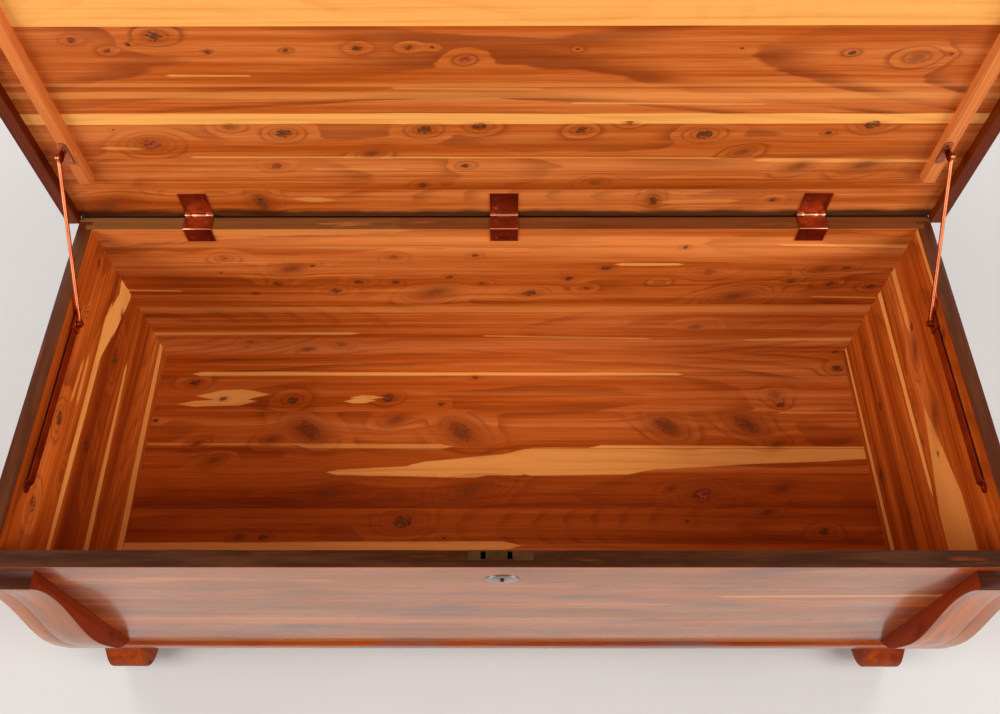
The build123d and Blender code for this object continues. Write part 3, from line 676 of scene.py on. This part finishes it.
LEFT_STREAKS = (
    ((0.400, -0.140, 0.0240), (0.580, -0.145, 0.0450), 0.95),
    ((0.330, -0.112, 0.0080), (0.480, -0.128, 0.0260), 0.95),
    ((-0.15, -0.119, 0.0035), (0.450, -0.111, 0.0090), 0.80),
    ((-0.15, -0.233, 0.0110), (0.400, -0.204, 0.0040), 0.70),
    ((-0.15, -0.342, 0.0130), (0.65, -0.304, 0.0070), 0.75),
    ((0.395, -0.346, 0.0050), (0.600, -0.346, 0.0060), 0.85),
    ((0.250, -0.072, 0.0040), (0.325, -0.076, 0.0030), 0.50),
    ((0.255, -0.090, 0.0045), (0.340, -0.086, 0.0030), 0.50),
)
RIGHT_KNOTS = (
    (0.387, -0.090, 0.0065, "tight"),
    (0.354, -0.098, 0.0110, "smear"),
    (0.289, -0.144, 0.0065, "pale"),
    (0.246, -0.093, 0.0120, "smear"),
    (0.229, -0.147, 0.0035, "tight"),
    (0.197, -0.113, 0.0030, "tight"),
    (0.342, -0.248, 0.0060, "tight"),
    (0.221, -0.212, 0.0035, "dot"),
    (0.247, -0.301, 0.0080, "tight"),
    (0.156, -0.243, 0.0045, "smear"),
    (0.452, -0.249, 0.0045, "tight"),
    (0.326, -0.016, 0.0060, "tight"),
    (0.270, -0.037, 0.0040, "tight"),
    (0.176, -0.350, 0.0100, "smear"),
)
RIGHT_STREAKS = (
    ((0.150, -0.157, 0.0050), (0.590, -0.160, 0.0070), 0.80),
    ((0.375, -0.100, 0.0050), (0.560, -0.100, 0.0080), 0.65),
    ((-0.30, -0.118, 0.0460), (0.275, -0.116, 0.0320), 0.62),
    ((-0.30, -0.316, 0.0085), (0.65, -0.327, 0.0040), 0.75),
    ((0.370, -0.005, 0.0040), (0.540, -0.006, 0.0050), 0.60),
)
FRONT_KNOTS = (
    (-0.504, -0.074, 0.0120, "smear"),
    (-0.359, -0.070, 0.0180, "smear"),
    (-0.245, -0.099, 0.0150, "smear"),
    (-0.156, -0.147, 0.0110, "smear"),
    (-0.075, -0.161, 0.0150, "smear"),
    (-0.314, -0.279, 0.0140, "smear"),
    (-0.373, -0.279, 0.0120, "smear"),
    (-0.273, -0.288, 0.0120, "smear"),
    (0.257, -0.150, 0.0210, "smear"),
    (0.168, -0.278, 0.0090, "smear"),
    (0.083, -0.278, 0.0090, "smear"),
    (0.406, -0.217, 0.0060, "tight"),
    (0.491, -0.235, 0.0200, "smear"),
    (0.217, -0.285, 0.0140, "smear"),
    (-0.460, -0.255, 0.0200, "smear"),
    (0.111, -0.073, 0.0150, "smear"),
)
FRONT_STREAKS = (
    ((0.260, -0.113, 0.0040), (0.560, -0.108, 0.0040), 0.60),
    ((-0.060, -0.148, 0.0020), (0.220, -0.145, 0.0022), 0.50),
    ((-0.440, -0.040, 0.0030), (-0.200, -0.050, 0.0022), 0.35),
    ((-0.020, -0.215, 0.0024), (0.240, -0.210, 0.0022), 0.35),
    ((-0.380, -0.180, 0.0024), (-0.120, -0.176, 0.0022), 0.35),
)


def within(features, low, high, reach):
    """The features whose place across the panel lies inside one board, or close enough to show in it."""
    return [item for item in features if low - reach(item) < middle_across(item) < high + reach(item)]


def middle_across(item):
    return item[1] if isinstance(item[0], float) else (item[0][1] + item[1][1]) / 2


def knot_reach(item):
    return item[2] * 0.3


def streak_reach(item):
    return max(item[0][2], item[1][2]) + abs(item[0][1] - item[1][1]) / 2


def board_features(node, across, knots, streaks):
    low, high = [corner[AXES[across]] - ORIGIN[across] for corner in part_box(node)]
    return within(knots, low, high, knot_reach), within(streaks, low, high, streak_reach)


def one_material(middle, normal):
    return 0


# ---- lid: the show face is the underside, lacquered on top ----
LID_WOODS = (
    Wood(1, tone=0.62, figure=0.5, centre=0.010, depth=0.030, vary=1.1),
    Wood(2, tone=0.60, figure=0.6, centre=0.085, depth=0.020),
    Wood(3, tone=0.66, figure=0.8, centre=0.168, depth=0.012, vary=0.8),
    Wood(4, tone=0.56, figure=1.0, centre=0.289, depth=0.010, pitch=0.0040, vary=0.9),
    Wood(5, tone=0.70, figure=0.8, centre=0.375, depth=0.030, sap=1.0),
    Wood(6, tone=0.70, figure=0.8, centre=0.490, depth=0.030, sap=0.9),
)
lid_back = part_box("lid_board_1")[1].y
lid_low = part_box("lid_board_1")[0]
lid_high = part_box("lid_board_6")[1]


def lid_edge(a, b):
    """Edges round the outside of the lid's top face and ends."""
    behind = a.y > lid_back - 0.0002 and b.y > lid_back - 0.0002
    rear = a.z < lid_low.z + 0.0002 and b.z < lid_low.z + 0.0002
    return rear or (behind and abs(a.z - b.z) < 0.0002 and a.z > lid_high.z - 0.0002)


def lid_pick(middle, normal):
    return 0 if middle.y < LID_UNDER + 0.0005 else 1


for number, wood in enumerate(LID_WOODS, start=1):
    node = f"lid_board_{number}"
    knots, streaks = board_features(node, "z", LID_KNOTS, LID_STREAKS)
    lines = (0.072, 0.089) if number == 2 else ()
    # The lowest lid board gets painted shade along its lower edge.
    inside = cedar(f"cedar_{node}", "x", "z", wood, knots, streaks, lines, lower_edge_shade=0.9 if number == 1 else 0.0)
    outer_wood = Wood(number + 100, tone=0.50, centre=wood.centre, depth=0.020, vary=0.8)
    outside = cedar(f"lacquer_{node}", "x", "z", outer_wood, knots[:3], finish="lacquer")
    eased(node, (inside, outside), lid_pick, 0.0012, lid_edge)

skirt_wood = cedar("cedar_skirt_side", "z", "x", Wood(21, tone=0.15, vary=0.7), tint=DARK_SKIRT)
skirt_wood_front = cedar("cedar_skirt_front", "x", "z", Wood(22, tone=0.15, vary=0.7), tint=DARK_SKIRT)
for node, material in (
    ("lid_skirt_left", skirt_wood),
    ("lid_skirt_right", skirt_wood),
    ("lid_skirt_front", skirt_wood_front),
):
    eased(node, (material,), one_material, 0.0009)

for side, seed in (("left", 31), ("right", 34)):
    batten = cedar(f"cedar_batten_{side}", "z", "x", Wood(seed, tone=0.84, figure=0.5, depth=0.040, vary=0.5))
    eased(f"lid_batten_{side}", (batten,), one_material, 0.0007)


# ---- case ----
def rim_edge(a, b):
    return a.z > RIM - 0.0002 and b.z > RIM - 0.0002


def inside_or_out(outer_axis, outer_value):
    """Material 1 on the face that lies on the case's outside, and 0 on the rest."""

    def pick(middle, normal):
        return 1 if abs(middle[outer_axis] - outer_value) < 0.0005 else 0

    return pick


def case_panel(prefix, along, woods, knots, streaks, lines, pick, rim, outer_tone):
    """The three boards of one wall of the case."""
    for row, wood in zip(("top", "middle", "bottom"), woods):
        node = f"{prefix}_board_{row}"
        near_knots, near_streaks = board_features(node, "z", knots, streaks)
        low, high = [corner.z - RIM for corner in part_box(node)]
        near_lines = [line for line in lines if low < line < high]
        stained = rim if row == "top" else None
        inner = cedar(
            f"cedar_{node}", along, "z", wood, near_knots, near_streaks, near_lines, rim=stained, sheen=0.08
        )
        outer_wood = Wood(wood.seed + 50, tone=outer_tone, centre=wood.centre, depth=0.020, vary=1.1)
        outer_knots, outer_streaks = (near_knots[:6], ()) if prefix != "front" else (near_knots, near_streaks)
        # The front's lacquer gets a painted reflection of the floor.
        painted_reflection = "fading" if prefix == "front" else None
        outer = cedar(
            f"lacquer_{node}", along, "z", outer_wood, outer_knots, outer_streaks, finish="lacquer", painted_reflection=painted_reflection
        )
        eased(node, (inner, outer), pick, 0.0010, rim_edge)


case_panel(
    "front",
    "x",
    (
        Wood(41, tone=0.36, centre=-0.060),
        Wood(42, tone=0.38, centre=-0.170),
        Wood(43, tone=0.36, centre=-0.300),
    ),
    FRONT_KNOTS,
    FRONT_STREAKS,
    (),
    inside_or_out(1, FRONT),
    1.0,
    0.30,
)
case_panel(
    "back",
    "x",
    (
        Wood(11, tone=0.70, figure=0.7, centre=-0.045, depth=0.014, vary=0.8),
        Wood(12, tone=0.58, figure=0.8, centre=-0.135, depth=0.012),
        Wood(13, tone=0.70, figure=0.5, centre=-0.240, depth=0.030),
    ),
    BACK_KNOTS,
    BACK_STREAKS,
    (-0.287,),
    inside_or_out(1, BACK),
    0.8,
    0.50,
)
case_panel(
    "left",
    "y",
    (
        Wood(14, tone=0.36, figure=0.8, centre=-0.055, depth=0.016, vary=0.8),
        Wood(15, tone=0.34, figure=0.8, centre=-0.160, depth=0.012),
        Wood(16, tone=0.34, figure=0.5, centre=-0.260, depth=0.030),
    ),
    LEFT_KNOTS,
    LEFT_STREAKS,
    (-0.305,),
    inside_or_out(0, -HALF_LENGTH),
    0.9,
    0.50,
)
case_panel(
    "right",
    "y",
    (
        Wood(17, tone=0.40, figure=0.6, centre=-0.030, depth=0.030),
        Wood(18, tone=0.34, figure=0.8, centre=-0.105, depth=0.012),
        Wood(19, tone=0.34, figure=0.5, centre=-0.230, depth=0.030),
    ),
    RIGHT_KNOTS,
    RIGHT_STREAKS,
    (-0.300,),
    inside_or_out(0, HALF_LENGTH),
    0.9,
    0.50,
)

FLOOR_WOODS = (
    Wood(61, tone=0.46, figure=0.5, centre=0.080, depth=0.030, vary=0.7),
    Wood(62, tone=0.30, figure=0.6, centre=0.182, depth=0.020, vary=0.6),
    Wood(63, tone=0.30, figure=0.5, centre=0.240, depth=0.030, vary=0.6),
    Wood(64, tone=0.54, figure=0.8, centre=0.347, depth=0.012, pitch=0.0046, vary=0.8),
    Wood(65, tone=0.56, figure=0.8, centre=0.412, depth=0.012, pitch=0.0042, vary=0.8),
)
for number, wood in enumerate(FLOOR_WOODS, start=1):
    node = f"floor_board_{number}"
    knots, streaks = board_features(node, "y", FLOOR_KNOTS, FLOOR_STREAKS)
    low, high = [corner.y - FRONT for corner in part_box(node)]
    lines = [line for line in (0.313, 0.451) if low < line < high]
    material = cedar(f"cedar_{node}", "x", "y", wood, knots, streaks, lines, sheen=0.08)
    dress(node, material)


# ---- trim ----
trim_wood = cedar("cedar_bead", "x", "z", Wood(71, tone=0.15, vary=0.6), finish="lacquer")
eased("base_bead", (trim_wood,), one_material, 0.0006)
SCROLL = (0.98, 0.86, 0.74)
SCROLL_KNOTS = {
    "left": (
        (-0.130, -0.585, 0.0100, "smear"),
        (-0.180, -0.560, 0.0080, "smear"),
        (-0.235, -0.590, 0.0060, "tight"),
    ),
    "right": (
        (-0.150, 0.590, 0.0100, "smear"),
        (-0.215, 0.570, 0.0070, "smear"),
        (-0.260, 0.590, 0.0060, "tight"),
    ),
}
BRACKET_KNOTS = {
    "left": ((-0.205, -0.045, 0.0060, "tight"), (-0.260, -0.010, 0.0050, "smear")),
    "right": ((-0.120, -0.035, 0.0080, "smear"), (-0.190, -0.020, 0.0070, "smear")),
}
FOOT_KNOTS = {
    "left": ((-0.420, -0.010, 0.0050, "tight"),),
    "right": ((-0.415, 0.0, 0.0060, "smear"),),
}
END_GRAIN = (0.22, 0.30, 0.60)
end_grain = cedar(
    "cedar_bracket_top", "x", "y", Wood(79, tone=0.0, vary=0.6), finish="lacquer", tint=END_GRAIN
)
bracket_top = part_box("scroll_bracket_left")[1].z


def bracket_pick(middle, normal):
    """End grain on top, the side's own cedar on the flat sides, and the scroll's face in front."""
    if middle.z > bracket_top - 0.004 and normal.z > 0.6:
        return 1
    return 2 if abs(normal.x) > 0.7 else 0


for side, seed in (("left", 72), ("right", 76)):
    for offset, kind in enumerate(("scroll_bracket", "scroll_cheek")):
        bracket_wood = Wood(seed + offset, tone=0.22, centre=0.02, vary=0.8)
        name = f"{kind}_{side}"
        face_knots, flank_knots = SCROLL_KNOTS[side], BRACKET_KNOTS[side]
        # The scroll's lacquered face gets an even painted reflection of the floor.
        face = cedar(
            f"cedar_{name}", "z", "x", bracket_wood, face_knots, finish="lacquer", painted_reflection="even", tint=SCROLL
        )
        flank = cedar(f"flank_{name}", "z", "y", bracket_wood, flank_knots, sheen=0.08, tint=DARK_FLANK)
        eased(name, (face, end_grain, flank), bracket_pick, 0.0008)
    foot_knots = FOOT_KNOTS[side]
    foot_board = Wood(seed + 8, tone=0.34, vary=0.9)
    foot_wood = cedar(f"cedar_foot_{side}", "z", "y", foot_board, foot_knots, sheen=0.08, tint=DARK_TRIM)
    eased(f"front_foot_{side}", (foot_wood,), one_material, 0.0010)

under_wood = cedar("cedar_under", "y", "x", Wood(85, tone=0.40))
post_wood = cedar("cedar_post", "z", "x", Wood(86, tone=0.40))
eased("floor_cleats", (under_wood,), one_material, 0.0008)
eased("glue_blocks", (post_wood,), one_material, 0.0008)
for side in ("left", "right"):
    eased(f"rear_foot_{side}", (post_wood,), one_material, 0.0010)

# ---- metalwork ----
AXIS_HEIGHT = (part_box("hinge_pins")[0].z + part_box("hinge_pins")[1].z) / 2
AXIS_DEPTH = (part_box("hinge_pins")[0].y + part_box("hinge_pins")[1].y) / 2
INNER_BACK = BACK - THICKNESS


def hinge_pick(middle, normal):
    """Brighter copper on the knuckles and round the bend over the rim: a painted highlight."""
    knuckle = abs(middle.z - AXIS_HEIGHT) < 0.0035 and abs(middle.y - AXIS_DEPTH) < 0.0035
    bend = middle.y < INNER_BACK and middle.z > RIM - 0.0005
    return 1 if knuckle or bend else 0


for node in ("hinge_box_leaves", "hinge_lid_leaves"):
    eased(node, (COPPER, HIGHLIGHT_COPPER), hinge_pick, 0.00025)
for side in ("left", "right"):
    eased(f"stay_bracket_{side}", (ROD_COPPER,), one_material, 0.00025)
for node in ("stay_rail_left", "stay_rail_right", "stay_slider_left", "stay_slider_right"):
    eased(node, (COPPER,), one_material, 0.00020)
dress("hinge_pins", HIGHLIGHT_COPPER)
for node in ("hinge_box_screws", "hinge_lid_screws", "small_case_screws", "small_lid_screws"):
    dress(node, SCREW_COPPER)
for node in ("stay_rod_left", "stay_rod_right", "stay_rivets"):
    dress(node, ROD_COPPER)


def block(name, low, high, material, bevel=0.0004):
    """A small block with eased edges."""
    shape = bmesh.new()
    bmesh.ops.create_cube(shape, size=1.0)
    size = Vector(high) - Vector(low)
    bmesh.ops.scale(shape, vec=size, verts=shape.verts)
    bmesh.ops.translate(shape, vec=(Vector(high) + Vector(low)) / 2, verts=shape.verts)
    bmesh.ops.bevel(shape, geom=shape.edges[:], offset=bevel, segments=2, profile=0.6, affect="EDGES")
    mesh = bpy.data.meshes.new(name)
    shape.to_mesh(mesh)
    shape.free()
    mesh.materials.append(material)
    piece = bpy.data.objects.new(name, mesh)
    scene.collection.objects.link(piece)
    return piece


# A dark strip on the back of the case closes the gap under the open lid, standing in for the shade there.
shade_cedar = cedar("painted_shade_cedar", "x", "z", Wood(88, tone=0.0, vary=0.3), tint=(0.15, 0.15, 0.15))
strip_end = HALF_LENGTH + 0.0055
strip_top = RIM - 0.0112  # just below the path of the lid's skirts
strip = block(
    "painted_shade_strip",
    (-strip_end, BACK - 0.0001, RIM - 0.021),
    (strip_end, LID_UNDER + 0.012, strip_top),
    shade_cedar,
)
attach(strip, "case")
for node in ("lock_case", "lock_bolt"):
    dress(node, BRASS)
eased("lock_selvedge", (BRASS,), one_material, 0.00025)
eased("strike_plate", (BRASS,), one_material, 0.00030)
eased("escutcheon", (NICKEL,), one_material, 0.00050, segments=3)


# ---- floor, light and camera ----
def floor_sheet():
    """A wide pale studio floor, as a grid with a soft mottle and fine specks."""
    shape = bmesh.new()
    bmesh.ops.create_grid(shape, x_segments=8, y_segments=8, size=6.0)
    mesh = bpy.data.meshes.new("studio_floor")
    shape.to_mesh(mesh)
    shape.free()
    floor = bpy.data.objects.new("studio_floor", mesh)
    scene.collection.objects.link(floor)
    floor.location.z = -0.0002
    material, tree, shader = new_material("studio_floor")
    x, y, z = place_fields(tree)
    mottle = noise(tree, (x * 1.6, y * 1.6, z), 4.0)
    speck = noise(tree, (x * 130.0, y * 130.0, z), 1.0)
    colour = blend(tree, mottle.rise(0.3, 0.7), (0.550, 0.540, 0.532), (0.575, 0.568, 0.562))
    colour = blend(tree, speck.rise(0.80, 0.86) * 0.5, colour, (0.30, 0.25, 0.20))
    tree.links.new(colour, shader.inputs["Base Color"])
    shader.inputs["Roughness"].default_value = 0.75
    mesh.materials.append(material)


def area_light(name, place, target, size, power, colour=(1.0, 0.97, 0.93)):
    data = bpy.data.lights.new(name, "AREA")
    data.shape = "RECTANGLE"
    data.size, data.size_y = size
    data.energy = power
    data.color = colour
    lamp = bpy.data.objects.new(name, data)
    scene.collection.objects.link(lamp)
    lamp.location = place
    lamp.rotation_euler = (Vector(target) - Vector(place)).to_track_quat("-Z", "Y").to_euler()


floor_sheet()
area_light("left_softbox", (-3.5, -1.7, 2.7), (0.0, 0.1, 0.35), (3.0, 2.4), 190.0)
area_light("right_softbox", (3.5, -1.7, 2.7), (0.0, 0.1, 0.35), (3.0, 2.4), 190.0)
area_light("front_softbox", (0.0, -3.4, 3.4), (0.0, 0.1, 0.4), (2.0, 1.2), 20.0)
area_light("left_backlight", (-2.3, 2.2, 1.5), (-0.9, 0.6, 0.0), (1.4, 1.0), 38.0)
area_light("right_backlight", (2.3, 2.2, 1.5), (0.9, 0.6, 0.0), (1.4, 1.0), 38.0)

world = bpy.data.worlds.new("studio")
world.use_nodes = True
world.node_tree.nodes["Background"].inputs["Color"].default_value = (0.97, 0.98, 1.0, 1.0)
world.node_tree.nodes["Background"].inputs["Strength"].default_value = 0.19
scene.world = world
scene.view_settings.view_transform = "Standard"

CAMERA_PITCH = 58.69  # degrees below the horizon
CAMERA_YAW = 0.47  # degrees to the left
CAMERA_ROLL = 0.43  # clockwise
CAMERA_LENS = 32.93
CAMERA_PLACE = (-0.0004, FRONT - 0.3379, RIM + 1.0184)

camera_data = bpy.data.cameras.new("camera")
camera_data.lens = CAMERA_LENS
camera_data.sensor_width = 36.0
camera = bpy.data.objects.new("camera", camera_data)
scene.collection.objects.link(camera)
aim = Matrix.Rotation(radians(CAMERA_YAW), 4, "Z") @ Matrix.Rotation(radians(90.0 - CAMERA_PITCH), 4, "X")
camera.matrix_world = Matrix.Translation(CAMERA_PLACE) @ aim @ Matrix.Rotation(radians(-CAMERA_ROLL), 4, "Z")
scene.camera = camera
